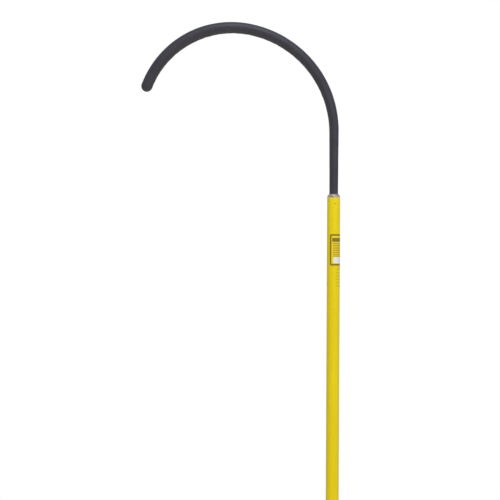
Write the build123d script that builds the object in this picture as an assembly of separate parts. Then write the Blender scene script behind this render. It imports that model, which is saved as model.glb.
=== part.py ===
from build123d import *
import math
import os

# Insulated rescue hook stick: a foam-filled fibreglass pole, with a bent steel hook pinned into
# an aluminium ferrule at its top end and a soft black dip coating over the hook.
# The pole's axis is Z, the origin is the middle of the butt face, and the hook opens towards -X.
# All sizes are in millimetres, and angles are in degrees.

# Pole
handle_length = 1828.8  # butt face to the tube's top end, six feet
tube_od = 31.75
tube_bore = 25.4
tube_edge_break = 0.5
bond_gap = 0.1  # glue line on every radius that is bonded into the bore
foam_seal_thickness = 3.0

# Ferrule
spigot_length = 104.0
collar_inset = 0.15  # the collar's radius is this much under the painted tube's
collar_land = 2.4
bevel_height = 4.6
lip_height = 1.0
lip_wall = 1.2
ferrule_round = 0.7
shoulder_round = 4.0  # where the collar's side turns into the bevel
mouth_depth = 6.0  # how far the coating's lower end sits inside the ferrule
bond_ring_thickness = 0.6
bond_groove_count = 3
bond_groove_width = 5.0
bond_groove_depth = 0.6
rod_socket_clearance = 0.04
spigot_lead_chamfer = 1.2

# Hook rod
rod_diameter = 15.875
rod_end_chamfer = 1.5
rod_bottom_gap = 4.0  # from the rod's lower end to the spigot's lower end
shank_rise = 160.6  # tube top to the start of the bend
first_bend_radius = 256.8
first_bend_turn = 81.0
second_bend_radius = 223.5
second_bend_turn = 78.4

# Dip coating: thinnest on the shank, which is last in and first out of the dip
coat_thin = 2.86
coat_thick = 6.76
coat_grip = 0.03  # radial gap between the rod and the coating's bore
coat_mouth_clearance = 0.12
coat_end_round = 0.6
rod_tip_past_bend = 4.0
# (share of the coated length, share of the growth from thin to thick)
coat_profile_shares = (
    (0.00, 0.00),
    (0.05, 0.00),
    (0.12, 0.06),
    (0.24, 0.28),
    (0.36, 0.55),
    (0.50, 0.68),
    (0.64, 0.82),
    (0.78, 1.00),
    (0.90, 0.89),
    (1.00, 0.81),
)

# Bead of sealant in the corner between the coated shank and the ferrule's lip
seal_height = 1.2
seal_tip_width = 0.2
seal_skin_gap = 0.05

# Cross pins, whose ends are closed with resin fillers
pin_diameter = 4.76
pin_hole_clearance = 0.02
upper_pin_depth = 15.0  # below the tube's top end
pin_pitch = 56.0
pin_facing = 12.0  # angle from -Y towards +X of the upper pin's front end
filler_thickness = 1.0

# Butt plug
plug_head_height = 9.0
plug_head_inset = 0.2
plug_head_round = 2.6
plug_stem_length = 34.0
plug_stem_slack = 0.7
plug_rib_count = 4
plug_rib_width = 2.4
plug_rib_grip = 0.08
plug_tread_radius = 8.6
plug_tread_width = 1.4
plug_tread_depth = 0.9
plug_core_radius = 6.0
plug_core_depth = 26.0

# Label film
label_top_depth = 89.0  # below the tube's top end
label_height = 82.0
label_width = 57.0  # measured round the pole
label_start = 42.0  # angle from -Y towards -X of its left edge
label_film = 0.15
label_glue = 0.05
label_corner = 5.5

cut_margin = 1.0  # how far a cutting tool overruns what it cuts

# Worked out from the sizes above
tube_radius = tube_od / 2
bore_radius = tube_bore / 2
rod_radius = rod_diameter / 2
pin_radius = pin_diameter / 2
tube_top = handle_length
tube_bottom = plug_head_height
bonded_radius = bore_radius - bond_gap
collar_bottom = tube_top + bond_ring_thickness
collar_radius = tube_radius - collar_inset
bevel_bottom = collar_bottom + collar_land
bevel_top = bevel_bottom + bevel_height
ferrule_top = bevel_top + lip_height
spigot_bottom = tube_top - spigot_length
mouth_radius = rod_radius + coat_thin + coat_mouth_clearance
lip_radius = mouth_radius + lip_wall
coat_bottom = ferrule_top - mouth_depth
rod_bottom = spigot_bottom + rod_bottom_gap
bend_start = tube_top + shank_rise
upper_pin_height = tube_top - upper_pin_depth
lower_pin_height = upper_pin_height - pin_pitch
shank_coated_length = bend_start - coat_bottom
first_bend_length = math.radians(first_bend_turn) * first_bend_radius
second_bend_length = math.radians(second_bend_turn) * second_bend_radius
coated_length = shank_coated_length + first_bend_length + second_bend_length
foam_top = spigot_bottom - foam_seal_thickness
plug_stem_top = tube_bottom + plug_stem_length
foam_bottom = plug_stem_top + foam_seal_thickness


def turned(outline):
    """A solid of revolution about the pole's axis from an outline of (radius, height) points."""
    return revolve(Plane.XZ * make_face(Polyline(outline, close=True)), Axis.Z)


def cylinder_between(radius, bottom, top):
    return Pos(0, 0, bottom) * extrude(Circle(radius), top - bottom)


def hook_plane(length):
    """The plane square to the hook's centreline, this far along it from the coating's lower end."""
    if length <= shank_coated_length:
        return Plane((0, 0, coat_bottom + length))
    first_centre = Vector(-first_bend_radius, 0, bend_start)
    past_shank = length - shank_coated_length
    if past_shank <= first_bend_length:
        turn = past_shank / first_bend_radius
        centre, radius = first_centre, first_bend_radius
    else:
        turn = math.radians(first_bend_turn)
        outward = Vector(math.cos(turn), 0, math.sin(turn))
        centre = first_centre + outward * (first_bend_radius - second_bend_radius)
        radius = second_bend_radius
        turn += (past_shank - first_bend_length) / second_bend_radius
    outward = Vector(math.cos(turn), 0, math.sin(turn))
    along = Vector(-math.sin(turn), 0, math.cos(turn))
    return Plane(origin=centre + outward * radius, x_dir=outward, z_dir=along)


def hook_centreline(bottom, overrun=0):
    """From a height on the shank to the end of the second bend, or past it by an overrun."""
    shank = Line((0, 0, bottom), (0, 0, bend_start))
    first = hook_bend(shank_coated_length, first_bend_length)
    second_start = shank_coated_length + first_bend_length
    second = hook_bend(second_start, second_bend_length + overrun)
    return Wire([shank, first, second])


def hook_bend(start, length):
    points = [hook_plane(start + length * share).origin for share in (0, 0.5, 1)]
    return ThreePointArc(*points)


def hook_bar(radius, bottom, overrun):
    return sweep(Pos(0, 0, bottom) * Circle(radius), path=hook_centreline(bottom, overrun))


def coat_radius(growth_share):
    return rod_radius + coat_thin + (coat_thick - coat_thin) * growth_share


def across_pole(radius, length, height, facing):
    """A round bar square to the pole's axis, centred on it."""
    side_on = Plane(origin=(0, 0, height), z_dir=facing_direction(facing))
    return side_on * extrude(Circle(radius), length / 2, both=True)


def facing_direction(facing):
    angle = math.radians(facing)
    return Vector(math.sin(angle), -math.cos(angle), 0)


pin_places = ((upper_pin_height, pin_facing), (lower_pin_height, pin_facing + 90))


def pin_holes():
    radius = pin_radius + pin_hole_clearance
    length = tube_od + 2 * cut_margin
    return [across_pole(radius, length, *place) for place in pin_places]


def make_pole_tube():
    whole = cylinder_between(tube_radius, tube_bottom, tube_top)
    whole = chamfer(whole.edges().filter_by(GeomType.CIRCLE), tube_edge_break)
    return whole - cylinder_between(bore_radius, tube_bottom, tube_top) - pin_holes()


def make_head_ferrule():
    outside = turned(
        [
            (0, spigot_bottom),
            (bonded_radius, spigot_bottom),
            (bonded_radius, collar_bottom),
            (collar_radius, collar_bottom),
            (collar_radius, bevel_bottom),
            (lip_radius, bevel_top),
            (lip_radius, ferrule_top),
            (0, ferrule_top),
        ]
    )
    circles = outside.edges().filter_by(GeomType.CIRCLE)
    lead = circles.group_by(Axis.Z)[0]
    outside = chamfer(lead, spigot_lead_chamfer)
    circles = outside.edges().filter_by(GeomType.CIRCLE)
    shoulder = [e for e in circles if abs(e.center().Z - bevel_bottom) < ferrule_round]
    outside = fillet(shoulder, shoulder_round)
    circles = outside.edges().filter_by(GeomType.CIRCLE)
    outside = fillet([e for e in circles if e.center().Z > bevel_top - ferrule_round], ferrule_round)
    groove_pitch = (lower_pin_height - spigot_bottom) / (bond_groove_count + 1)
    grooves = []
    for place in range(bond_groove_count):
        middle = spigot_bottom + groove_pitch * (place + 1)
        low, high = middle - bond_groove_width / 2, middle + bond_groove_width / 2
        groove = cylinder_between(tube_radius, low, high)
        grooves.append(groove - cylinder_between(bonded_radius - bond_groove_depth, low, high))
    socket_radius = rod_radius + rod_socket_clearance
    socket = cylinder_between(socket_radius, rod_bottom, ferrule_top + cut_margin)
    mouth = cylinder_between(mouth_radius, coat_bottom, ferrule_top + cut_margin)
    return outside - grooves - socket - mouth - pin_holes()


def make_ferrule_bond_ring():
    inner = bonded_radius + bond_gap / 2
    ring = cylinder_between(collar_radius, tube_top, collar_bottom)
    return ring - cylinder_between(inner, tube_top, collar_bottom)


def make_hook_rod():
    bar = hook_bar(rod_radius, rod_bottom, rod_tip_past_bend)
    ends = bar.faces().filter_by(GeomType.PLANE)
    bar = chamfer([face.edges()[0] for face in ends], rod_end_chamfer)
    return bar - pin_holes()


def make_hook_coating():
    sections = []
    for length_share, growth_share in coat_profile_shares:
        plane = hook_plane(coated_length * length_share)
        sections.append(plane * Circle(coat_radius(growth_share)))
    skin = sweep(sections, path=hook_centreline(coat_bottom), multisection=True)
    lower_rim = skin.edges().sort_by(Axis.Z)[0]
    skin = fillet(lower_rim, coat_end_round)
    nose_radius = coat_radius(coat_profile_shares[-1][1])
    nose = Pos(hook_plane(coated_length).origin) * Sphere(nose_radius)
    inside = hook_bar(rod_radius + coat_grip, coat_bottom - cut_margin, rod_tip_past_bend + coat_grip)
    return skin + nose - inside


def make_shank_seal():
    inner = rod_radius + coat_thin + seal_skin_gap
    seal_top = ferrule_top + seal_height
    return turned(
        [
            (inner, ferrule_top),
            (lip_radius - ferrule_round, ferrule_top),
            (inner + seal_tip_width, seal_top),
            (inner, seal_top),
        ]
    )


def make_cross_pin(place):
    return across_pole(pin_radius, tube_od - 2 * filler_thickness, *place)


def make_pin_hole_fillers():
    """Resin that closes the hole over each pin's ends, flush with the tube."""
    tube_outside = cylinder_between(tube_radius, spigot_bottom, tube_top)
    fillers = []
    for place in pin_places:
        hole = across_pole(pin_radius, tube_od + cut_margin, *place) & tube_outside
        between_pin_ends = across_pole(tube_radius, tube_od - 2 * filler_thickness, *place)
        fillers += (hole - between_pin_ends).solids()
    return Compound(fillers)


def make_foam_core():
    return cylinder_between(bonded_radius, foam_bottom, foam_top)


def make_upper_foam_seal():
    return cylinder_between(bonded_radius, foam_top, spigot_bottom)


def make_lower_foam_seal():
    return cylinder_between(bonded_radius, plug_stem_top, foam_bottom)


def make_butt_plug():
    head_radius = tube_radius - plug_head_inset
    stem_radius = bore_radius - plug_stem_slack
    rib_radius = bore_radius - plug_rib_grip
    head = cylinder_between(head_radius, 0, tube_bottom)
    head = fillet(head.edges().sort_by(Axis.Z)[0], plug_head_round)
    plug = head + cylinder_between(stem_radius, tube_bottom, plug_stem_top)
    rib_pitch = plug_stem_length / (plug_rib_count + 0.5)
    for place in range(plug_rib_count):
        low = tube_bottom + rib_pitch * (place + 0.5)
        high = low + plug_rib_width
        plug += turned([(0, low), (rib_radius, low), (stem_radius, high), (0, high)])
    core = cylinder_between(plug_core_radius, plug_stem_top - plug_core_depth, plug_stem_top)
    tread = cylinder_between(plug_tread_radius + plug_tread_width, 0, plug_tread_depth)
    tread -= cylinder_between(plug_tread_radius, 0, plug_tread_depth)
    return plug - core - tread


def make_pole_label():
    inner_radius = tube_radius + label_glue
    sweep_angle = math.degrees(label_width / inner_radius)
    top = tube_top - label_top_depth
    bottom = top - label_height
    edge = Plane.XZ * Pos(inner_radius, bottom) * Rectangle(label_film, label_height, align=Align.MIN)
    film = Rot(0, 0, -90 - label_start) * revolve(edge, Axis.Z, revolution_arc=sweep_angle)
    corner_angle = math.degrees(label_corner / inner_radius)
    facings = (corner_angle - label_start, sweep_angle - corner_angle - label_start)
    heights = (bottom + label_corner, top - label_corner)
    for facing, side in zip(facings, (-1, 1)):
        for height, end in zip(heights, (-1, 1)):
            film -= label_corner_cutter(facing, height, side, end)
    return film


def label_corner_cutter(facing, height, side, end):
    """What a round corner leaves of a square one, as a bar that points away from the pole."""
    outward = facing_direction(facing)
    across = Vector(-outward.Y, outward.X, 0)
    view = Plane(origin=outward * bore_radius + Vector(0, 0, height), x_dir=across, z_dir=outward)
    reach = label_corner + cut_margin
    square = Pos(side * reach / 2, end * reach / 2) * Rectangle(reach, reach)
    return view * extrude(square - Circle(label_corner), tube_radius)


pieces = {
    "pole_tube": make_pole_tube(),
    "head_ferrule": make_head_ferrule(),
    "ferrule_bond_ring": make_ferrule_bond_ring(),
    "hook_rod": make_hook_rod(),
    "hook_coating": make_hook_coating(),
    "shank_seal": make_shank_seal(),
    "upper_cross_pin": make_cross_pin(pin_places[0]),
    "lower_cross_pin": make_cross_pin(pin_places[1]),
    "pin_hole_fillers": make_pin_hole_fillers(),
    "foam_core": make_foam_core(),
    "upper_foam_seal": make_upper_foam_seal(),
    "lower_foam_seal": make_lower_foam_seal(),
    "butt_plug": make_butt_plug(),
    "pole_label": make_pole_label(),
}

os.makedirs("parts", exist_ok=True)
for name, shape in pieces.items():
    export_step(shape, f"parts/{name}.step")
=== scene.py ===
import math
import bpy
import numpy as np
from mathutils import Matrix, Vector


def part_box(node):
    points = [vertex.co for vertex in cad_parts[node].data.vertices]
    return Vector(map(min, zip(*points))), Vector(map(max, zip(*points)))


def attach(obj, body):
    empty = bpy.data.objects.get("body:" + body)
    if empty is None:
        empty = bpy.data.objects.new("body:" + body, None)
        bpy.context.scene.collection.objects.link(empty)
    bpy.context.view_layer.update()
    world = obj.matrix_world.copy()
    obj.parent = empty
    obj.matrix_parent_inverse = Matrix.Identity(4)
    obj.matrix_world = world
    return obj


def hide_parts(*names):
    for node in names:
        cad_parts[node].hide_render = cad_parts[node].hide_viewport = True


# Rescue hook stick: a yellow glass-fibre pole, an aluminium ferrule and a black dip-coated crook.
# Lengths are in metres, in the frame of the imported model: Z up the pole, the crook opens to -X.
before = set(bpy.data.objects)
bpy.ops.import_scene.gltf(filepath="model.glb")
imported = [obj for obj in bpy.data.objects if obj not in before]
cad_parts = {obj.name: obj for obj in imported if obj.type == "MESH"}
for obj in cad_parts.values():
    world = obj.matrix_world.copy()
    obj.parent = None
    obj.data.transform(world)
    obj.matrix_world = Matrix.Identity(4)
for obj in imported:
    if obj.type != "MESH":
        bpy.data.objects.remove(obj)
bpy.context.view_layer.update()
scene = bpy.context.scene
mm = 0.001
full = 2 * math.pi
white = (1.0, 1.0, 1.0, 1.0)


def makeMesh(name, points, quads, fans, sharpAngle):
    # points (n, 3), quads (m, 4) and fans (k, 3) go in as whole arrays
    mesh = bpy.data.meshes.new(name)
    counts = np.concatenate([np.full(len(quads), 4), np.full(len(fans), 3)])
    corners = np.concatenate([quads.ravel(), fans.ravel()])
    mesh.vertices.add(len(points))
    mesh.vertices.foreach_set("co", points.ravel())
    mesh.loops.add(len(corners))
    mesh.loops.foreach_set("vertex_index", corners)
    mesh.polygons.add(len(counts))
    mesh.polygons.foreach_set("loop_start", np.cumsum(counts) - counts)
    mesh.update(calc_edges=True)
    mesh.shade_smooth()
    mesh.set_sharp_from_angle(angle=math.radians(sharpAngle))
    piece = bpy.data.objects.new(name, mesh)
    scene.collection.objects.link(piece)
    return piece


def ringFaces(rows, around, loop=False):
    # quads between neighbouring rings of a (row, around) grid, and from the last ring to the first
    number = np.arange(rows * around).reshape(rows, around)
    low, high = (number, np.roll(number, -1, 0)) if loop else (number[:-1], number[1:])
    return np.stack([low, np.roll(low, -1, 1), np.roll(high, -1, 1), high], -1).reshape(-1, 4)


def ringMesh(name, *shells, loop=False, sharpAngle=35.0):
    # each shell is rings (row, around, 3), closed round each ring: a loop joins its last ring to its
    # first, and otherwise the first and last ring each shrink to their middle
    points, quads, fans, start = [], [], [np.zeros((0, 3), int)], 0
    for rings in shells:
        tips = rings[[0, -1]].mean(axis=1)
        rings = rings if loop else rings[1:-1]
        rows, around = rings.shape[:2]
        quads.append(ringFaces(rows, around, loop) + start)
        points.append(rings.reshape(-1, 3))
        if not loop:
            first, last = np.arange(around), np.arange(around) + (rows - 1) * around
            lowTip, highTip = [np.full(around, rows * around + end) for end in (0, 1)]
            fans.append(np.stack([lowTip, np.roll(first, -1), first], -1) + start)
            fans.append(np.stack([highTip, last, np.roll(last, -1)], -1) + start)
            points.append(tips)
        start = sum(len(part) for part in points)
    return makeMesh(name, *[np.concatenate(part) for part in (points, quads, fans)], sharpAngle)


def rounded(corners, steps=6):
    # corners are (radius, height, rounding): each rounding is an arc tangent to both of its sides
    outline = []
    for number, (r, z, rounding) in enumerate(corners):
        here = np.array([r, z])
        if rounding == 0:
            outline.append(here[None])
            continue
        sides = [np.array(corners[number + side][:2]) - here for side in (-1, 1)]
        before, after = [side / np.linalg.norm(side) for side in sides]
        half = np.arccos(np.clip(before @ after, -1, 1)) / 2
        middle = (before + after) / np.linalg.norm(before + after)
        centre = here + middle * rounding / np.sin(half)
        start, end = [here + side * rounding / np.tan(half) - centre for side in (before, after)]
        swing = math.pi - 2 * half
        share = np.linspace(0, 1, steps)[:, None]
        arc = (np.sin((1 - share) * swing) * start + np.sin(share * swing) * end) / np.sin(swing)
        outline.append(centre + arc)
    return np.concatenate(outline)


def spread(outline, step):
    # more points along an outline's long sides, at most a step apart, with its corners kept
    along = np.concatenate([[0], np.cumsum(np.linalg.norm(np.diff(outline, axis=0), axis=1))])
    stops = np.unique(np.concatenate([along, np.arange(0, along[-1], step)]).round(7))
    return np.stack([np.interp(stops, along, outline[:, k]) for k in (0, 1)], -1)


def turned(outline, around, ripple=0.0):
    # a surface of revolution about Z: (r cos a, r sin a, z), where ripple adds to r
    angle = np.arange(around) / around * full
    r, z = outline[:, :1] + ripple, outline[:, 1:]
    return np.stack(np.broadcast_arrays(r * np.cos(angle), r * np.sin(angle), z), -1)


def unevenness(along, angle, seed, waves, height):
    # height times the mean of products of a sine along and a cosine round, with random phases; each
    # wave is its radians a metre along and its number of lobes round
    phases = np.random.default_rng(seed).uniform(0, full, (len(waves), 2))
    hills = [
        np.sin(along * rate + phase[0]) * np.cos(angle * lobes + phase[1])
        for (rate, lobes), phase in zip(waves, phases)
    ]
    return height * sum(hills) / len(hills)


class Signal:
    # a node socket that can stand in sums, products and other maths
    def __init__(self, tree, socket):
        self.tree, self.socket = tree, socket

    def maths(self, operation, *values):
        return addNode(self.tree, "ShaderNodeMath", {"operation": operation}, dict(enumerate(values)))

    def __add__(self, other):
        return self.maths("ADD", self, other)

    def __radd__(self, other):
        return self.maths("ADD", other, self)

    def __sub__(self, other):
        return self.maths("SUBTRACT", self, other)

    def __rsub__(self, other):
        return self.maths("SUBTRACT", other, self)

    def __mul__(self, other):
        return self.maths("MULTIPLY", self, other)

    def __rmul__(self, other):
        return self.maths("MULTIPLY", other, self)

    def __abs__(self):
        return self.maths("ABSOLUTE", self)

    def sine(self):
        return self.maths("SINE", self)

    def root(self):
        return self.maths("SQRT", self)

    def atLeast(self, other):
        return self.maths("MAXIMUM", self, other)

    def atMost(self, other):
        return self.maths("MINIMUM", self, other)

    def ramp(self, low, high, start=0.0, end=1.0):
        # a smooth step from start to end while the signal goes from low to high
        values = {"Value": self, "From Min": low, "From Max": high, "To Min": start, "To Max": end}
        return addNode(self.tree, "ShaderNodeMapRange", {"interpolation_type": "SMOOTHSTEP"}, values)

    def tint(self, colourAtZero, colourAtOne):
        values = {0: self, 6: colourAtZero, 7: colourAtOne}
        return addNode(self.tree, "ShaderNodeMix", {"data_type": "RGBA"}, values, 2)


def addNode(tree, kind, settings=None, values=None, output=0):
    # any node: its settings come first, then the values or links of its sockets
    node = tree.nodes.new(kind)
    for name, setting in (settings or {}).items():
        setattr(node, name, setting)
    for name, value in (values or {}).items():
        if isinstance(value, Signal):
            tree.links.new(value.socket, node.inputs[name])
        else:
            node.inputs[name].default_value = value
    return Signal(tree, node.outputs[output]) if len(node.outputs) else None


def emptyTree(owner):
    owner.use_nodes = True
    owner.node_tree.nodes.clear()
    return owner.node_tree


def objectPlace(tree):
    # Object coordinates, then their three parts
    where = addNode(tree, "ShaderNodeTexCoord", output="Object")
    return where, *[addNode(tree, "ShaderNodeSeparateXYZ", None, {0: where}, axis) for axis in range(3)]


def grain(tree, where, size, detail=2.0, stretch=(1.0, 1.0, 1.0)):
    # noise from 0 to 1 with features of about this size, drawn out along each axis by stretch
    share = [1 / length for length in stretch]
    drawn = addNode(tree, "ShaderNodeMapping", None, {"Vector": where, "Scale": share})
    values = {"Vector": drawn, "Scale": 1 / size, "Detail": detail}
    return addNode(tree, "ShaderNodeTexNoise", None, values)


def relief(tree, height, depth, under=None):
    # a bump of this depth where the height goes from 0 to 1, on top of another
    values = {"Height": height, "Distance": depth}
    if under:
        values["Normal"] = under
    return addNode(tree, "ShaderNodeBump", None, values)


def surface(name, build):
    # a material whose sockets come from build(tree), which returns the shader's values
    material = bpy.data.materials.new(name)
    tree = emptyTree(material)
    shader = addNode(tree, "ShaderNodeBsdfPrincipled", None, build(tree))
    addNode(tree, "ShaderNodeOutputMaterial", None, {"Surface": shader})
    return material


def fit(piece, node, material):
    piece.data.materials.append(material)
    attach(piece, "root")
    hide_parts(node)
    return piece


def pinOffsets(x, y, z):
    # distance on the pole's surface from the nearest pin's axis: sqrt(across squared + height squared)
    distances = []
    for facing, height in pinPlaces:
        across = x * math.cos(facing) + y * math.sin(facing)
        distances.append((across * across + (z - height) * (z - height)).root())
    return distances[0].atMost(distances[1])


print("Pole")
pole = {
    "radius": 15.875 * mm,
    "bore": 12.7 * mm,
    "edgeRound": 0.7 * mm,
    "around": 112,
    "rowStep": 12 * mm,
    "ripple": 0.02 * mm,
    "rippleSeed": 4,
    "rippleWaves": [(61, 2), (103, 3), (37, 1), (151, 2)],
    "fibreSize": 0.9 * mm,
    "cloudSize": 38 * mm,  # of the broad patches of tone
    "markSize": 1.1 * mm,
    "wornSize": 90 * mm,
    "strandDepth": 0.03 * mm,
    "dentDepth": 0.05 * mm,
    "strandStarts": 9,  # bands of strands round the pole, each way
    "strandLead": 70.0,  # how far a band turns, in radians a metre
    "fineStrands": 8,  # fine strands in each band
    "yellow": (0.785, 0.620, 0.002, 1.0),
    "yellowDeep": (0.715, 0.540, 0.001, 1.0),
    # pale resin at the pole's top; its pale band at the top edge is also a painted highlight
    "resinEdgeAndPaintedHighlight": (0.70, 0.58, 0.155, 1.0),
    "resinDepth": 3.6 * mm,
    "resinDrips": 1.8 * mm,
    "dripSize": 5 * mm,
    "resinFull": 1.5 * mm,  # how far below the top the resin reaches its full colour
    "pinSeam": (0.52, 0.40, 0.01, 1.0),
    "seamWidth": 0.35 * mm,
    "grime": (0.36, 0.29, 0.05, 1.0),
    "grimeFrom": 2 * mm,
    "grimeTo": 150 * mm,
    "tallyCount": 6,  # plain printed strokes below the label
    "tallyDepth": 176.4 * mm,  # from the pole's top to the first of them
    "tallyPitch": 8.0 * mm,
    "tallyStroke": 3.0 * mm,
    "tallySoft": 0.15 * mm,
    "tallyFrom": math.radians(18),  # their left and right ends, from the label's side
    "tallyTo": math.radians(104),
    "tallyInk": (0.40, 0.28, 0.004, 1.0),
}
poleLow, poleTop = [corner.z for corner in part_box("pole_tube")]
pins = {
    "radius": 2.38 * mm,
    "seamRadius": 2.475 * mm,
    "upperDepth": 15 * mm,  # below the pole's top
    "pitch": 56 * mm,
    "facing": math.radians(12),  # from the label's side
}
pinPlaces = [
    (pins["facing"], poleTop - pins["upperDepth"]),
    (pins["facing"] + math.pi / 2, poleTop - pins["upperDepth"] - pins["pitch"]),
]


def makePole():
    # a tube: a rounded outline closed through the bore, its outside rippled by a sum of soft waves
    edge = pole["edgeRound"]
    outline = rounded([
        (pole["bore"], poleLow, 0),
        (pole["radius"], poleLow, edge),
        (pole["radius"], poleTop, edge),
        (pole["bore"], poleTop, 0),
    ])
    outline = spread(outline, pole["rowStep"])
    angle = np.arange(pole["around"]) / pole["around"] * full
    outside = (outline[:, :1] > pole["radius"] - edge / 4) * 1.0
    waves = unevenness(outline[:, 1:], angle, pole["rippleSeed"], pole["rippleWaves"], pole["ripple"])
    return ringMesh("poleTube", turned(outline, pole["around"], outside * waves), loop=True)


def tallyStrokes(angle, z):
    # strokes where the height is within half a stroke of a whole number of pitches, for the angles
    # from the side that the label faces between two limits
    half, pitch, soft = pole["tallyStroke"] / 2, pole["tallyPitch"], pole["tallySoft"]
    top = poleTop - pole["tallyDepth"]
    stroke = z.maths("PINGPONG", z - top, pitch / 2).ramp(half - soft, half + soft, 1.0, 0.0)
    middle = top - (pole["tallyCount"] - 1) * pitch / 2
    reach = (pole["tallyCount"] - 0.5) * pitch / 2
    within = abs(z - middle).ramp(reach - soft, reach + soft, 1.0, 0.0)
    softTurn = soft / pole["radius"]
    middleTurn = (pole["tallyFrom"] + pole["tallyTo"]) / 2 - math.pi / 2
    reachTurn = (pole["tallyTo"] - pole["tallyFrom"]) / 2
    turn = abs(angle - middleTurn).ramp(reachTurn - softTurn, reachTurn + softTurn, 1.0, 0.0)
    return stroke * within * turn


def poleFinish(tree):
    # glass wound both ways under a clear coat: each band is the sine of starts times (angle plus or
    # minus z times lead), the greater one lies on top, and finer sines of the same sum are its strands;
    # pale resin runs down from the top by a noise, and its pale band at the top edge is also a painted
    # highlight; handling marks are streaks of stretched noise, the seams round the pins are where the
    # distance from a pin's axis is near its radius, and the faded strokes are thinned by the fibres
    where, x, y, z = objectPlace(tree)
    angle = y.maths("ARCTAN2", y, x)
    leftTurn = (angle + z * pole["strandLead"]) * pole["strandStarts"]
    rightTurn = (angle - z * pole["strandLead"]) * pole["strandStarts"]
    left, right = leftTurn.sine(), rightTurn.sine()
    strandsLeft, strandsRight = [(turn * pole["fineStrands"]).sine() for turn in (leftTurn, rightTurn)]
    onTop = (left - right).ramp(-0.15, 0.15)
    weave = left.atLeast(right) * 0.5 + 0.5
    strand = (strandsRight + onTop * (strandsLeft - strandsRight)) * 0.5 + 0.5
    fibre = grain(tree, where, pole["fibreSize"], 3.0, (1.0, 1.0, 14.0))
    cloud = grain(tree, where, pole["cloudSize"], 3.0, (1.0, 1.0, 3.0))
    marks = grain(tree, where, pole["markSize"], 4.0, (0.7, 0.7, 9.0)).ramp(0.66, 0.76)
    worn = grain(tree, where, pole["wornSize"], 2.0).ramp(0.45, 0.7) * marks
    tone = weave * 0.2 + strand * 0.2 + fibre * 0.27 + cloud * 0.33
    colour = tone.ramp(0.25, 0.8).tint(pole["yellowDeep"], pole["yellow"])
    drips = grain(tree, where, pole["dripSize"], 3.0, (1.0, 1.0, 1.6)) * pole["resinDrips"]
    resinLow = poleTop - pole["resinDepth"] - pole["resinDrips"] / 2
    # pale resin down from the top, which also paints a highlight along the top edge
    topResinAndHighlight = (z - drips).ramp(resinLow - pole["resinDrips"] / 2, poleTop - pole["resinFull"])
    colour = (topResinAndHighlight * (0.75 + fibre * 0.25)).tint(colour, pole["resinEdgeAndPaintedHighlight"])
    seam = abs(pinOffsets(x, y, z) - pins["seamRadius"]).ramp(0.0, pole["seamWidth"], 0.6, 0.0)
    colour = seam.tint(colour, pole["pinSeam"])
    tally = tallyStrokes(angle, z) * (fibre.ramp(0.25, 0.75, 0.15, 0.55) - marks * 0.15)
    colour = tally.tint(colour, pole["tallyInk"])
    foot = z.ramp(poleLow + pole["grimeFrom"], poleLow + pole["grimeTo"], 0.5, 0.0) * cloud
    colour = (foot + worn * 0.3).tint(colour, pole["grime"])
    rough = 0.30 + cloud * 0.12 + worn * 0.22 + foot * 0.3
    strands = relief(tree, weave * 0.3 + strand * 0.4 + fibre * 0.3, pole["strandDepth"])
    dents = relief(tree, cloud - marks * 0.3, pole["dentDepth"], strands)
    return {"Base Color": colour, "Roughness": rough, "Specular IOR Level": 0.3, "Normal": dents}


fit(makePole(), "pole_tube", surface("woundGlassFibre", poleFinish))


print("Pin hole fillers")
filler = {
    "depth": 1.0 * mm,
    "crown": 0.06 * mm,
    "around": 40,
    "dimple": 0.5 * mm,
    "dimpleDepth": 0.05 * mm,
    "colour": (0.50, 0.37, 0.001, 1.0),
    "colourDark": (0.40, 0.29, 0.001, 1.0),
}


def makeFillers():
    # lens-topped discs wrapped on the pole: height over the tube is crown times (1 - 2 share squared)
    shares = np.array([0.0, 0.35, 0.65, 0.85, 1.0, 1.0, 0.6, 0.0])[::-1, None]
    sunk = np.array([0.0, 0.0, 0.0, 0.0, 0.0, 1.0, 1.0, 1.0])[::-1, None]
    turnAngle = np.arange(filler["around"]) / filler["around"] * full
    reach = pins["radius"] * shares
    height = pole["radius"] + filler["crown"] * (1 - 2 * shares**2) - filler["depth"] * sunk
    discs = []
    for facing, level in pinPlaces:
        for end in (0, math.pi):
            angle = facing + end - math.pi / 2 + reach * np.cos(turnAngle) / pole["radius"]
            up = level + reach * np.sin(turnAngle)
            discs.append(np.stack([height * np.cos(angle), height * np.sin(angle), up], -1))
    return ringMesh("pinHoleFillers", *discs)


def fillerFinish(tree):
    # tinted resin, darker towards its rim, with small dimples
    where, x, y, z = objectPlace(tree)
    middle = pinOffsets(x, y, z)
    speck = grain(tree, where, filler["dimple"], 3.0)
    rim = middle.ramp(0.0, pins["radius"], 0.1, 0.7)
    colour = (rim * speck + 0.1).tint(filler["colour"], filler["colourDark"])
    dimple = relief(tree, speck, filler["dimpleDepth"])
    rough = speck * 0.2 + 0.35
    return {"Base Color": colour, "Roughness": rough, "Specular IOR Level": 0.2, "Normal": dimple}


fit(makeFillers(), "pin_hole_fillers", surface("fillerResin", fillerFinish))


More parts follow.
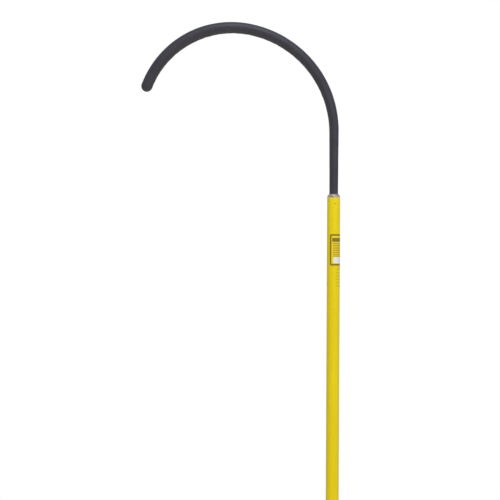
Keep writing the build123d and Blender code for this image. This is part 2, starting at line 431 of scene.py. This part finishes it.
print("Ferrule")
ferrule = {
    "spigotRadius": 12.6 * mm,
    "spigotLead": 1.2 * mm,
    "collarRadius": 15.725 * mm,
    "collarLow": 0.6 * mm,
    "land": 2.4 * mm,
    "bevel": 4.6 * mm,
    "lip": 1.0 * mm,
    "lipRadius": 12.12 * mm,
    "mouthRadius": 10.92 * mm,
    "mouthDepth": 6.0 * mm,
    "socketRadius": 7.98 * mm,
    "socketFloor": 4.0 * mm,
    "bevelBelly": 0.45 * mm,  # how far the bevel's middle stands out
    "collarRound": 0.15 * mm,
    "shoulderRound": 1.2 * mm,
    "bevelRound": 3.0 * mm,
    "lipFootRound": 0.6 * mm,
    "lipRound": 0.35 * mm,
    "mouthRound": 0.2 * mm,
    "around": 112,
    "rowStep": 9 * mm,
    "metal": (0.57, 0.515, 0.46, 1.0),
    "metalDull": (0.40, 0.36, 0.315, 1.0),
    "resin": (0.53, 0.45, 0.19, 1.0),
    # the dark resin colour and the side it faces make a painted dark reflection on the bonding resin
    "resinPaintedReflection": (0.17, 0.128, 0.034, 1.0),
    "resinDrips": 2.6 * mm,
    "resinSide": 0.8 * mm,  # how much higher it stands on its dark side
    "resinFrom": 1.2 * mm,  # above the pole's top, where it starts to thin out
    "resinTo": 2.8 * mm,
    "paintedReflectionSide": (-0.31, -0.95),  # X and Y of the way it faces
    "paintedReflectionFrom": 14.0 * mm,
    "paintedReflectionTo": 15.4 * mm,
    "turningPitch": 0.45 * mm,
    "scratchSize": 0.35 * mm,
    "dullSize": 3.5 * mm,
    "dripSize": 4.5 * mm,
    "lineDepth": 0.03 * mm,
}
ferruleLow, ferruleTop = [corner.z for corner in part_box("head_ferrule")]


def makeFerrule():
    # turned profile: spigot, collar, shoulder bent slightly outwards, lip, mouth and socket
    f = ferrule
    collar = poleTop + f["collarLow"]
    shoulder = collar + f["land"]
    mouthFloor, socketFloor = ferruleTop - f["mouthDepth"], ferruleLow + f["socketFloor"]
    belly = f["collarRadius"] * 0.55 + f["lipRadius"] * 0.45 + f["bevelBelly"]
    outline = rounded([
        (0, ferruleLow, 0),
        (f["spigotRadius"] - f["spigotLead"], ferruleLow, 0),
        (f["spigotRadius"], ferruleLow + f["spigotLead"], 0),
        (f["spigotRadius"], collar, 0),
        (f["collarRadius"], collar, f["collarRound"]),
        (f["collarRadius"], shoulder, f["shoulderRound"]),
        (belly, shoulder + f["bevel"] * 0.5, f["bevelRound"]),
        (f["lipRadius"], ferruleTop - f["lip"], f["lipFootRound"]),
        (f["lipRadius"], ferruleTop, f["lipRound"]),
        (f["mouthRadius"], ferruleTop, f["mouthRound"]),
        (f["mouthRadius"], mouthFloor, 0),
        (f["socketRadius"], mouthFloor, 0),
        (f["socketRadius"], socketFloor, 0),
        (0, socketFloor, 0),
    ])
    rings = turned(spread(outline, f["rowStep"]), f["around"])
    return ringMesh("headFerrule", rings, sharpAngle=40)


def ferruleFinish(tree):
    # turning lines are a sine of height, dull patches a noise ramp; bonding resin is smeared over the
    # lowest part, up to a height that a noise varies, and on one side, by a ramp of X and Y times the
    # way that side faces, it reaches higher and is darkened as a painted dark reflection
    f = ferrule
    where, x, y, z = objectPlace(tree)
    lines = (z * (full / f["turningPitch"])).sine() * 0.5 + 0.5
    scratch = grain(tree, where, f["scratchSize"], 4.0, (9.0, 9.0, 0.6))
    dull = grain(tree, where, f["dullSize"], 3.0).ramp(0.35, 0.7)
    drip = grain(tree, where, f["dripSize"], 2.0)
    # dark: a ramp towards the side where the resin is darkened as a painted dark reflection
    dark = (x * f["paintedReflectionSide"][0] + y * f["paintedReflectionSide"][1]).ramp(f["paintedReflectionFrom"], f["paintedReflectionTo"])
    edge = z - drip * f["resinDrips"] - dark * f["resinSide"]
    smear = edge.ramp(poleTop + f["resinFrom"], poleTop + f["resinTo"], 0.9, 0.0)
    colour = (dull * 0.6 + scratch * 0.3).tint(f["metal"], f["metalDull"])
    resin = (dark * (0.7 + drip * 0.3)).tint(f["resin"], f["resinPaintedReflection"])
    colour = smear.tint(colour, resin)
    rough = 0.40 + dull * 0.12 + scratch * 0.1 + smear * 0.05
    height = relief(tree, lines * 0.6 + scratch * 0.4, f["lineDepth"])
    return {"Base Color": colour, "Metallic": 1 - smear, "Roughness": rough, "Normal": height}


fit(makeFerrule(), "head_ferrule", surface("turnedAluminium", ferruleFinish))


print("Bond ring and shank seal")
bondRing = {
    "height": 0.6 * mm,
    "radius": 15.72 * mm,
    "inner": 12.65 * mm,
    "bulge": 0.18 * mm,
    "uneven": 0.16 * mm,
    "seed": 9,
    "lobes": (3, 7, 12, 19),
    "steps": 9,  # up the bulge
    "around": 128,
    "epoxy": (0.62, 0.51, 0.15, 1.0),
    "epoxyDark": (0.42, 0.33, 0.09, 1.0),
}
shankSeal = {
    "inner": 10.85 * mm,
    "width": 0.65 * mm,
    "tipWidth": 0.06 * mm,
    "height": 1.3 * mm,
    "uneven": 0.2 * mm,
    "seed": 12,
    "lobes": (2, 5, 9, 16),
    "steps": 10,  # up the hollow curve
    "around": 128,
    "sealant": (0.045, 0.043, 0.037, 1.0),
    "sealantPale": (0.095, 0.090, 0.075, 1.0),
}
cured = {"patchSize": 2.5 * mm, "pitSize": 0.5 * mm, "depth": 0.08 * mm}


def makeBead(name, bead, low, radii, weights):
    # a ring with a plain bore: its outer side stands at these radii from low up to its height, and is
    # uneven round the pole by these weights
    heights = low + np.linspace(0, 1, bead["steps"]) * bead["height"]
    bore = [[[bead["inner"], height]] for height in (heights[0], heights[-1])]
    outline = np.concatenate([bore[0], np.stack([radii, heights], -1), bore[1]])
    angle = np.arange(bead["around"]) / bead["around"] * full
    waves = [(0, lobes) for lobes in bead["lobes"]]
    uneven = unevenness(outline[:, 1:], angle, bead["seed"], waves, bead["uneven"])
    uneven = np.concatenate([[0], weights, [0]])[:, None] * uneven
    return ringMesh(name, turned(outline, bead["around"], uneven), loop=True)


def makeBondRing():
    # a flat ring whose outer side bulges as a half sine
    bulge = np.sin(np.linspace(0, 1, bondRing["steps"]) * math.pi)
    radii = bondRing["radius"] + (bulge - 1) * bondRing["bulge"]
    return makeBead("ferruleBondRing", bondRing, poleTop, radii, bulge)


def makeShankSeal():
    # a fillet in the corner of shank and lip: its width is one minus the sine of the height's share of
    # a quarter turn, and varies most at its foot
    share = np.linspace(0, 1, shankSeal["steps"])
    width = shankSeal["width"] * (1 - np.sin(share * math.pi / 2)) + shankSeal["tipWidth"]
    return makeBead("shankSeal", shankSeal, ferruleTop, shankSeal["inner"] + width, 1 - share)


def resinFinish(clear, dark, rough, specular):
    # cured resin: colour and gloss follow a soft noise, and pits are where a finer noise passes a ramp
    def build(tree):
        where = objectPlace(tree)[0]
        patch = grain(tree, where, cured["patchSize"], 3.0)
        pit = grain(tree, where, cured["pitSize"], 2.0).ramp(0.6, 0.72)
        colour = (patch.ramp(0.3, 0.7) * 0.8 + pit * 0.2).tint(clear, dark)
        values = {"Base Color": colour, "Roughness": patch * 0.2 + rough, "Specular IOR Level": specular}
        return {**values, "Normal": relief(tree, patch - pit * 0.3, cured["depth"])}
    return build


epoxyFinish = resinFinish(bondRing["epoxy"], bondRing["epoxyDark"], 0.3, 0.4)
sealantFinish = resinFinish(shankSeal["sealantPale"], shankSeal["sealant"], 0.45, 0.35)
epoxy = surface("curedEpoxy", epoxyFinish)
sealant = surface("sealantBead", sealantFinish)
fit(makeBondRing(), "ferrule_bond_ring", epoxy)
fit(makeShankSeal(), "shank_seal", sealant)


print("Crook")
crook = {
    "shankRise": 160.6 * mm,
    "firstRadius": 256.8 * mm,
    "firstTurn": math.radians(81.0),
    "secondRadius": 223.5 * mm,
    "secondTurn": math.radians(78.4),
    "rod": 7.97 * mm,
    "rodPast": 4.03 * mm,
    "thin": 2.86 * mm,
    "growth": 3.90 * mm,
    "lengthShares": (0.00, 0.05, 0.12, 0.24, 0.36, 0.50, 0.64, 0.78, 0.90, 1.00),
    "growthShares": (0.00, 0.04, 0.11, 0.34, 0.62, 0.71, 0.80, 1.00, 0.91, 0.81),
    "soften": 45,  # how far the growth is smoothed each way, in thousandths of the length
    "rimRound": 0.6 * mm,
    "rimSteps": 6,
    "capSteps": 17,
    "around": 72,
    "rowStep": 2.2 * mm,
    "boreStep": 9 * mm,
    "lumps": 0.18 * mm,
    "lumpSeed": 21,
    "lumpWaves": [(23, 1), (41, 2), (67, 1), (97, 3), (139, 2), (211, 4)],
    "innerLumps": 0.45 * mm,
    "innerSeed": 33,
    "innerWaves": [(157, 0), (211, 0), (263, 1), (331, 1)],
    "bendIn": 60 * mm,  # how far into the bend these reach their full height
    "paintRadius": 14 * mm,  # of the straight bar on which its noises are painted
    "pebbleSize": 2.2 * mm,
    "fineSize": 0.45 * mm,
    "patchSize": 45 * mm,
    "runSize": 4.5 * mm,
    "pitSize": 1.3 * mm,
    "streakSize": 1.1 * mm,
    "nickSize": 1.4 * mm,
    "speckSize": 0.8 * mm,
    "softDepth": 0.60 * mm,
    "fineDepth": 0.07 * mm,
    "black": (0.033, 0.032, 0.042, 1.0),
    "blackSoft": (0.044, 0.042, 0.053, 1.0),
    # the inner colour is a painted warm light and the outer colour a darker, bluer painted shade
    "blackInnerPaintedLight": (0.041, 0.034, 0.037, 1.0),
    "blackOuterPaintedShade": (0.022, 0.027, 0.042, 1.0),
    "dust": (0.15, 0.14, 0.14, 1.0),
    "sheen": (0.78, 0.83, 1.0, 1.0),
}
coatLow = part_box("hook_coating")[0].z
bendLow = poleTop + crook["shankRise"]
straight = bendLow - coatLow
firstLength = crook["firstRadius"] * crook["firstTurn"]
coatedLength = straight + firstLength + crook["secondRadius"] * crook["secondTurn"]


def crookLine(length):
    # straight up, then an arc of the first radius and one of the second, then straight on; returns
    # the points and the unit vectors away from the bend's centre
    first = np.clip(length - straight, 0, firstLength)
    second = np.clip(length - straight - firstLength, 0, coatedLength - straight - firstLength)
    past = np.clip(length - coatedLength, 0, None) + np.minimum(length - straight, 0)
    angle = first / crook["firstRadius"] + second / crook["secondRadius"]
    firstAngle = first / crook["firstRadius"]
    arcs = [
        crook["firstRadius"] * (trig(firstAngle) - trig(0 * firstAngle))
        + crook["secondRadius"] * (trig(angle) - trig(firstAngle))
        for trig in (np.cos, np.sin)
    ]
    outward = np.stack([np.cos(angle), 0 * angle, np.sin(angle)], -1)
    onward = np.stack([-np.sin(angle), 0 * angle, np.cos(angle)], -1)
    points = np.stack([arcs[0], 0 * angle, bendLow + arcs[1]], -1) + onward * past[:, None]
    return points, outward


def coatRadius(length):
    # the rod's radius, plus the thin skin, plus growth times its share at this share of the length,
    # where the line through the shares is smoothed by a sliding hill-shaped mean
    half = crook["soften"]
    fine = np.linspace(-0.1, 1.1, 1201)
    growth = np.interp(fine, crook["lengthShares"], crook["growthShares"])
    window = np.hanning(2 * half + 1)
    soft = np.convolve(np.pad(growth, half, "edge"), window / window.sum(), "valid")
    return crook["rod"] + crook["thin"] + crook["growth"] * np.interp(length / coatedLength, fine, soft)


def makeCoating():
    # rings along the crook's line: from the bore's end back to the lower rim, out round the rim,
    # up the skin and over a half sphere to the tip; the skin has soft lumps, as dipping leaves, which
    # fade out over the tip, and more of them on its inner side, where the cosine round the bar is
    # below 0
    c = crook
    rimSteps, capSteps = c["rimSteps"], c["capSteps"]
    boreEnd = coatedLength + c["rodPast"]
    bore = np.linspace(boreEnd, 0, int(boreEnd / c["boreStep"]))
    rimAngle = np.linspace(0, math.pi / 2, rimSteps)
    rim = c["rimRound"] * (1 - np.cos(rimAngle))
    skin = np.linspace(c["rimRound"], coatedLength, int(coatedLength / c["rowStep"]))[1:]
    capAngle = np.linspace(0, math.pi / 2, capSteps + 1)[1:]
    tipRadius = coatRadius(np.array([coatedLength]))
    length = np.concatenate([[boreEnd], bore, rim, skin, coatedLength + tipRadius * np.sin(capAngle)])
    outer = coatRadius(np.minimum(length, coatedLength))
    boreCount = len(bore) + 1
    outer[:boreCount] = c["rod"]
    outer[0] = 0
    outer[boreCount:boreCount + rimSteps] -= c["rimRound"] * (1 - np.sin(rimAngle))
    outer[-capSteps:] *= np.cos(capAngle)
    side = np.arange(c["around"]) / c["around"] * full
    onSkin = (np.arange(len(length)) >= boreCount + rimSteps) * np.clip(outer / c["rod"] - 0.4, 0, 1)
    along = length[:, None]
    lumps = unevenness(along, side, c["lumpSeed"], c["lumpWaves"], c["lumps"]) - c["lumps"]
    inBend = np.clip((along - straight) / c["bendIn"], 0, 1)
    within = np.clip(-np.cos(side), 0, 1) ** 2 * inBend
    innerLumps = unevenness(along, side, c["innerSeed"], c["innerWaves"], c["innerLumps"])
    lumps = (lumps + within * innerLumps) * onSkin[:, None]
    points, outward = crookLine(length)
    reach = (outer[:, None] + lumps)[..., None]
    around = outward[:, None] * np.cos(side)[:, None] + np.array([0, 1, 0]) * np.sin(side)[:, None]
    piece = ringMesh("hookCoating", points[:, None] + around * reach, sharpAngle=50)
    paint = np.broadcast_arrays(np.cos(side), np.sin(side), length[1:-1, None] / c["paintRadius"])
    ends = [[0, 0, length[end] / c["paintRadius"]] for end in (0, -1)]
    unbent = np.concatenate([np.stack(paint, -1).reshape(-1, 3), ends]) * c["paintRadius"]
    paintPlace = piece.data.attributes.new("unbent", "FLOAT_VECTOR", "POINT")
    paintPlace.data.foreach_set("vector", unbent.ravel())
    return piece


def coatingFinish(tree):
    # soft black vinyl, painted on the bar as if unbent: two noises are the pebbles that dipping leaves,
    # runs are a noise drawn out along the bar, pits, specks and scuffs are where a noise passes a ramp,
    # and ramps of the place across the bar make its inner side more scuffed and warmer, a painted warm
    # light, and its outer side darker and cooler, a painted cool shade
    c = crook
    where = addNode(tree, "ShaderNodeAttribute", {"attribute_name": "unbent"}, output=1)
    outward = addNode(tree, "ShaderNodeSeparateXYZ", None, {0: where})
    pebble = grain(tree, where, c["pebbleSize"], 2.0)
    fine = grain(tree, where, c["fineSize"], 2.0)
    patch = grain(tree, where, c["patchSize"], 3.0)
    runs = grain(tree, where, c["runSize"], 2.0, (1.0, 1.0, 9.0))
    pit = grain(tree, where, c["pitSize"], 1.0).ramp(0.66, 0.72)
    inner = outward.ramp(-0.9 * c["paintRadius"], 0.5 * c["paintRadius"], 1.0, 0.0)
    streak = grain(tree, where, c["streakSize"], 4.0, (1.0, 1.0, 7.0)).ramp(0.58, 0.70)
    nick = grain(tree, where, c["nickSize"], 4.0, (4.0, 4.0, 0.7)).ramp(0.60, 0.70)
    rub = streak * patch.ramp(0.42, 0.62) * 0.6 + nick * (inner * 0.7 + 0.15)
    speck = grain(tree, where, c["speckSize"], 1.0).ramp(0.74, 0.80)
    colour = (patch.ramp(0.3, 0.7) * 0.6 + runs * 0.4).tint(c["black"], c["blackSoft"])
    # painted warm light on the inner side of the bar
    colour = inner.tint(colour, c["blackInnerPaintedLight"])
    # painted cool shade, darker and bluer, on the outer side of the bar
    outer = outward.ramp(0.35 * c["paintRadius"], 0.95 * c["paintRadius"])
    colour = (outer * 0.8).tint(colour, c["blackOuterPaintedShade"])
    colour = (rub * 0.4 + speck * 0.15).tint(colour, c["dust"])
    rough = 0.30 + patch * 0.12 + runs * 0.1 + fine * 0.12 + rub * 0.15 + pit * 0.1
    soft = relief(tree, pebble * 0.5 + runs * 0.5 - pit * 0.25, c["softDepth"])
    return {
        "Base Color": colour,
        "Roughness": rough,
        "Specular IOR Level": 0.45,
        "Specular Tint": c["sheen"],
        "Normal": relief(tree, fine, c["fineDepth"], soft),
    }


fit(makeCoating(), "hook_coating", surface("dippedVinyl", coatingFinish))


print("Label")
label = {
    "width": 57.0 * mm,
    "start": math.radians(42),
    "glue": 0.05 * mm,
    "film": 0.15 * mm,
    "corner": 5.5 * mm,
    "columns": 120,
    "endColumns": 14,  # at each round end
    "rows": 60,
    "frame": (1.4 * mm, 55.6 * mm, 3.8 * mm, 81.4 * mm),  # left, right, bottom and top on the film
    "frameCorner": 5.0 * mm,
    "window": (5.7 * mm, 51.7 * mm, 8.8 * mm, 76.9 * mm),
    "windowCorner": 1.2 * mm,
    "bar": (7.6 * mm, 49.4 * mm, 62.3 * mm, 71.9 * mm),
    "rules": (9.4 * mm, 47.6 * mm, 26.2 * mm, 59.8 * mm),
    "rulePitch": 4.4 * mm,
    "ruleWidth": 2.5 * mm,
    "panel": (10.4 * mm, 46.6 * mm, 9.6 * mm, 24.4 * mm),
    "barCorner": 0.5 * mm,
    "panelCorner": 0.8 * mm,
    "printSoft": 0.12 * mm,
    "grimeWidth": 0.6 * mm,
    "wearSize": 0.6 * mm,
    "fadeSize": 14 * mm,
    "smudgeSize": 2.5 * mm,
    "waveSize": 3.0 * mm,
    "waveDepth": 0.04 * mm,
    "ground": (0.80, 0.61, 0.032, 1.0),
    "ink": (0.265, 0.188, 0.001, 1.0),
    "inkBar": (0.225, 0.165, 0.018, 1.0),
    "inkThin": (0.40, 0.28, 0.004, 1.0),
    "paper": (0.72, 0.72, 0.69, 1.0),
    "grime": (0.42, 0.33, 0.06, 1.0),
}
labelLow, labelHigh = [corner.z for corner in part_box("pole_label")]
label["height"] = labelHigh - labelLow


def makeLabel():
    # a sheet wrapped on the pole: its height shrinks to an arc near each end, for round corners
    corner, width, height = label["corner"], label["width"], label["height"]
    ends = (1 - np.cos(np.linspace(0, math.pi / 2, label["endColumns"]))) * corner
    middle = np.linspace(corner, width - corner, label["columns"])[1:-1]
    across = np.concatenate([ends, middle, width - ends[::-1]])
    inside = np.clip(corner - np.minimum(across, width - across), 0, corner)
    cut = corner - np.sqrt(corner**2 - inside**2)
    up = np.linspace(0, 1, label["rows"])[:, None] * (height - 2 * cut) + cut
    angle = across / pole["radius"] - math.pi / 2 - label["start"] + 0 * up
    radius = pole["radius"] + label["glue"] + label["film"]
    points = np.stack([radius * np.cos(angle), radius * np.sin(angle), labelLow + up], -1)
    rows, columns = up.shape
    number = np.arange(rows * columns).reshape(rows, columns)
    low, high = number[:-1], number[1:]
    quads = np.stack([low[:, :-1], low[:, 1:], high[:, 1:], high[:, :-1]], -1).reshape(-1, 4)
    piece = makeMesh("poleLabel", points.reshape(-1, 3), quads, np.zeros((0, 3), int), 35.0)
    plan = np.stack([across + 0 * up, up], -1).reshape(-1, 2)[quads.ravel()]
    piece.data.uv_layers.new(name="labelPlan").data.foreach_set("uv", plan.ravel())
    wall = piece.modifiers.new("film", "SOLIDIFY")
    wall.thickness, wall.offset = label["film"], -1
    return piece


def labelFinish(tree):
    # printed film: a rounded frame, a plain head bar and a blank write-on panel, each where its signed
    # distance is below 0, and ruled lines where the height is within half a line of a whole number of
    # pitches; specks of wear are a noise ramp, and grime lies along the film's edges
    plan = addNode(tree, "ShaderNodeUVMap", {"uv_map": "labelPlan"})
    u, v = [addNode(tree, "ShaderNodeSeparateXYZ", None, {0: plan}, axis) for axis in (0, 1)]
    where = objectPlace(tree)[0]
    soft = label["printSoft"]

    def block(sides, rounding=0.0):
        # signed distance to a rounded box, as a mask that is 1 inside
        left, right, bottom, top = sides
        dx = abs(u - (left + right) / 2) - ((right - left) / 2 - rounding)
        dy = abs(v - (bottom + top) / 2) - ((top - bottom) / 2 - rounding)
        outX, outY = dx.atLeast(0.0), dy.atLeast(0.0)
        distance = (outX * outX + outY * outY).root() + dx.atLeast(dy).atMost(0.0) - rounding
        return distance.ramp(-soft, soft, 1.0, 0.0)

    outer = block(label["frame"], label["frameCorner"])
    inner = block(label["window"], label["windowCorner"])
    bar = block(label["bar"], label["barCorner"])
    panel = block(label["panel"], label["panelCorner"])
    edge = label["ruleWidth"] / 2
    offset = v.maths("PINGPONG", v - label["rules"][2] - edge - soft, label["rulePitch"] / 2)
    rule = offset.ramp(edge - soft, edge + soft, 1.0, 0.0)
    rules = rule * block(label["rules"])
    wear = grain(tree, where, label["wearSize"], 3.0).ramp(0.68, 0.76) * 0.5
    fade = grain(tree, where, label["fadeSize"], 2.0)
    film = (fade * 0.12).tint(label["ground"], label["inkThin"])
    colour = (rules * 0.9).tint(film, label["inkThin"])
    ink = (outer - inner) * (1 - wear)
    colour = ink.tint(colour, label["ink"])
    colour = (bar * (1 - wear)).tint(colour, label["inkBar"])
    colour = panel.tint(colour, label["paper"])
    grimeWidth = label["grimeWidth"]
    right, top = label["width"] - grimeWidth, label["height"] - grimeWidth
    clean = block((grimeWidth, right, grimeWidth, top), label["corner"])
    smudge = grain(tree, where, label["smudgeSize"], 4.0)
    grime = (1 - clean) * smudge.ramp(0.35, 0.6) * 0.3 + smudge.ramp(0.62, 0.8) * 0.15
    colour = grime.tint(colour, label["grime"])
    waves = grain(tree, where, label["waveSize"], 2.0) - wear * 0.2
    return {
        "Base Color": colour,
        "Roughness": 0.38 + fade * 0.1 + wear * 0.2 + grime * 0.2 - ink * 0.05,
        "Specular IOR Level": 0.18,
        "Normal": relief(tree, waves, label["waveDepth"]),
    }


fit(makeLabel(), "pole_label", surface("printedFilm", labelFinish))


print("Butt plug")
plug = {
    "headRadius": 15.675 * mm,
    "headRound": 2.6 * mm,
    "treadRadii": (8.6 * mm, 10.0 * mm),
    "treadDepth": 0.9 * mm,
    "treadRound": 0.2 * mm,
    "stemRadius": 12.0 * mm,
    "stemRound": 0.8 * mm,
    "ribRadius": 12.62 * mm,
    "ribWidth": 2.4 * mm,
    "ribCount": 4,
    "coreRadius": 6.0 * mm,
    "coreDepth": 26 * mm,
    "around": 96,
    "rowStep": 3 * mm,
    "speckleSize": 0.3 * mm,
    "patchSize": 6 * mm,
    "scratchSize": 0.6 * mm,
    "scuffHeight": 4 * mm,
    "pebbleDepth": 0.04 * mm,
    "rubber": (0.018, 0.018, 0.018, 1.0),
    "scuffed": (0.10, 0.095, 0.085, 1.0),
}


def makePlug():
    # turned profile: foot with a tread groove, rounded head, ribbed stem and its hollow core
    p = plug
    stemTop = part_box("butt_plug")[1].z
    ribs = []
    ribPitch = (stemTop - poleLow) / (p["ribCount"] + 0.5)
    for number in range(p["ribCount"]):
        low = poleLow + ribPitch * (number + 0.5)
        ribs += [(p["stemRadius"], low, 0), (p["ribRadius"], low, 0)]
        ribs += [(p["stemRadius"], low + p["ribWidth"], 0)]
    treadIn, treadOut = p["treadRadii"]
    outline = rounded([
        (0, 0, 0),
        (treadIn, 0, p["treadRound"]),
        (treadIn, p["treadDepth"], p["treadRound"]),
        (treadOut, p["treadDepth"], p["treadRound"]),
        (treadOut, 0, p["treadRound"]),
        (p["headRadius"], 0, p["headRound"]),
        (p["headRadius"], poleLow, 0),
        (p["stemRadius"], poleLow, 0),
        *ribs,
        (p["stemRadius"], stemTop, p["stemRound"]),
        (p["coreRadius"], stemTop, 0),
        (p["coreRadius"], stemTop - p["coreDepth"], 0),
        (0, stemTop - p["coreDepth"], 0),
    ])
    return ringMesh("buttPlug", turned(spread(outline, p["rowStep"]), p["around"]))


def rubberFinish(tree):
    # black rubber: scuffed near the floor by a ramp of height times a noise, with stretched scratches
    where, _, _, z = objectPlace(tree)
    speckle = grain(tree, where, plug["speckleSize"], 3.0)
    patch = grain(tree, where, plug["patchSize"], 3.0)
    foot = z.ramp(0.0, plug["scuffHeight"], 1.0, 0.15) * patch.ramp(0.35, 0.65)
    scratch = grain(tree, where, plug["scratchSize"], 4.0, (6.0, 1.0, 1.0)).ramp(0.6, 0.72)
    colour = (foot * 0.6 + scratch * 0.25).tint(plug["rubber"], plug["scuffed"])
    rough = 0.62 + speckle * 0.1 + foot * 0.15
    pebbles = relief(tree, speckle + patch, plug["pebbleDepth"])
    return {"Base Color": colour, "Roughness": rough, "Normal": pebbles}


fit(makePlug(), "butt_plug", surface("mouldedRubber", rubberFinish))


print("Inner pieces")
hidden = {
    "steel": (0.52, 0.51, 0.50, 1.0),
    "steelDull": (0.28, 0.27, 0.26, 1.0),
    "lineSize": 0.4 * mm,
    "filmSize": 9 * mm,
    "lineDepth": 0.01 * mm,
    "foam": (0.72, 0.68, 0.55, 1.0),
    "foamRim": (0.52, 0.47, 0.34, 1.0),
    "cellSize": 0.7 * mm,
    "cellDepth": 0.15 * mm,
}


def steelFinish(tree):
    # cold-drawn bar: lines are a noise drawn out along Z, and a thin grey film is a soft noise
    where = objectPlace(tree)[0]
    line = grain(tree, where, hidden["lineSize"], 3.0, (1.0, 1.0, 30.0))
    film = grain(tree, where, hidden["filmSize"], 3.0)
    colour = (film * 0.5 + line * 0.3).tint(hidden["steel"], hidden["steelDull"])
    rough = 0.28 + film * 0.2
    drawn = relief(tree, line, hidden["lineDepth"])
    return {"Base Color": colour, "Metallic": 1.0, "Roughness": rough, "Normal": drawn}


def foamFinish(tree):
    # closed cells: the distance in a Voronoi pattern goes from pale middles to darker rims
    where = objectPlace(tree)[0]
    values = {"Vector": where, "Scale": 1 / hidden["cellSize"]}
    rim = addNode(tree, "ShaderNodeTexVoronoi", None, values).ramp(0.2, 0.8)
    colour = rim.tint(hidden["foam"], hidden["foamRim"])
    bubbles = relief(tree, 1 - rim, hidden["cellDepth"])
    return {"Base Color": colour, "Roughness": 0.8 - rim * 0.1, "Normal": bubbles}


steel = surface("drawnSteel", steelFinish)
foam = surface("closedCellFoam", foamFinish)
innerPieces = {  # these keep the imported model's own meshes
    "hook_rod": steel,
    "upper_cross_pin": steel,
    "lower_cross_pin": steel,
    "foam_core": foam,
    "upper_foam_seal": epoxy,
    "lower_foam_seal": epoxy,
}
for name, material in innerPieces.items():
    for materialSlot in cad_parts[name].material_slots:
        materialSlot.material = material


print("Floor, light and camera")
studio = {
    "floorRadius": 6.0,
    "floorAround": 96,
    "floorFade": (1.6, 5.4),
    "floorColour": (0.86, 0.86, 0.86, 1.0),
    "ambient": 0.46,
    "mirrored": (0.24, 0.58),  # how bright the camera's side and the far side are in a reflection
    "mirroredTurn": (-0.8, 0.3),  # the Y of the directions where that change starts and ends
    "photoWidth": 1.230,  # width of the photograph's frame at the pole
    "photoCentre": Vector((-0.2052, 0.0, poleTop - 0.1297)),
    "cameraDistance": 3.2,
    "cameraRoll": math.radians(-0.28),
}
softboxes = {
    "keySoftbox": {"from": (0.24, -1.55, 2.60), "size": 1.8, "power": 34.0, "mirrored": True},
    "sideSoftbox": {"from": (1.9, -2.9, 0.7), "size": 1.5, "power": 9.0, "mirrored": True},
    "frontSoftbox": {"from": (0.95, -4.0, 0.9), "size": 2.6, "power": 60.0, "mirrored": False},
    "backSoftbox": {"from": (0.0, 3.6, 0.9), "size": 2.4, "power": 46.0, "mirrored": False},
}


def makeFloor():
    # a flat disc under the butt, which fades into the white surroundings and is clear from below
    around = np.arange(studio["floorAround"]) / studio["floorAround"] * full
    radii = np.array([0, 1, 2, 4, 8, 12])[:, None] / 12 * studio["floorRadius"]
    rings = np.stack(np.broadcast_arrays(radii * np.cos(around), radii * np.sin(around), 0 * radii), -1)
    faces = ringFaces(*rings.shape[:2])[:, ::-1]
    floor = makeMesh("floor", rings.reshape(-1, 3), faces, np.zeros((0, 3), int), 35.0)
    material = bpy.data.materials.new("paleFloor")
    tree = emptyTree(material)
    x, y = objectPlace(tree)[1:3]
    fade = (x * x + y * y).root().ramp(*studio["floorFade"])
    matt = addNode(tree, "ShaderNodeBsdfDiffuse", None, {"Color": studio["floorColour"]})
    clear = addNode(tree, "ShaderNodeBsdfTransparent")
    below = addNode(tree, "ShaderNodeNewGeometry", output="Backfacing")
    shader = addNode(tree, "ShaderNodeMixShader", None, {0: fade.atLeast(below), 1: matt, 2: clear})
    addNode(tree, "ShaderNodeOutputMaterial", None, {"Surface": shader})
    floor.data.materials.append(material)


def makeWorld():
    # white where the camera or a clear part looks, white from the sides and back but dark from the
    # camera's side in a reflection, and a plain level as light
    world = bpy.data.worlds.new("studio")
    tree = emptyTree(world)
    rays = ("Camera", "Glossy", "Transmission")
    camera, glossy, clear = [
        addNode(tree, "ShaderNodeLightPath", output=f"Is {ray} Ray") for ray in rays
    ]
    y = objectPlace(tree)[2]
    around = y.ramp(*studio["mirroredTurn"], *studio["mirrored"])
    strength = studio["ambient"] + glossy * (around - studio["ambient"])
    strength = strength.atLeast(camera).atLeast(clear)
    back = addNode(tree, "ShaderNodeBackground", None, {"Color": white, "Strength": strength})
    addNode(tree, "ShaderNodeOutputWorld", None, {"Surface": back})
    scene.world = world


def makeSoftbox(name, box):
    # a round softbox that faces the middle of the photograph's frame
    lamp = bpy.data.lights.new(name, "AREA")
    lamp.shape, lamp.size, lamp.energy = "DISK", box["size"], box["power"]
    stand = bpy.data.objects.new(name, lamp)
    offset = Vector(box["from"])
    stand.location = studio["photoCentre"] + offset
    stand.rotation_euler = (-offset).to_track_quat("-Z", "Y").to_euler()
    stand.visible_glossy = box["mirrored"]
    scene.collection.objects.link(stand)


def makeCamera():
    # the photograph's long lens, level, at the height of the middle of its frame
    data = bpy.data.cameras.new("photoView")
    data.lens = data.sensor_width * studio["cameraDistance"] / studio["photoWidth"]
    camera = bpy.data.objects.new("photoView", data)
    camera.location = studio["photoCentre"] - Vector((0, studio["cameraDistance"], 0))
    camera.rotation_euler = (math.pi / 2, studio["cameraRoll"], 0)
    scene.collection.objects.link(camera)
    scene.camera = camera


makeFloor()
makeWorld()
for name, box in softboxes.items():
    makeSoftbox(name, box)
makeCamera()
scene.view_settings.view_transform = "Standard"
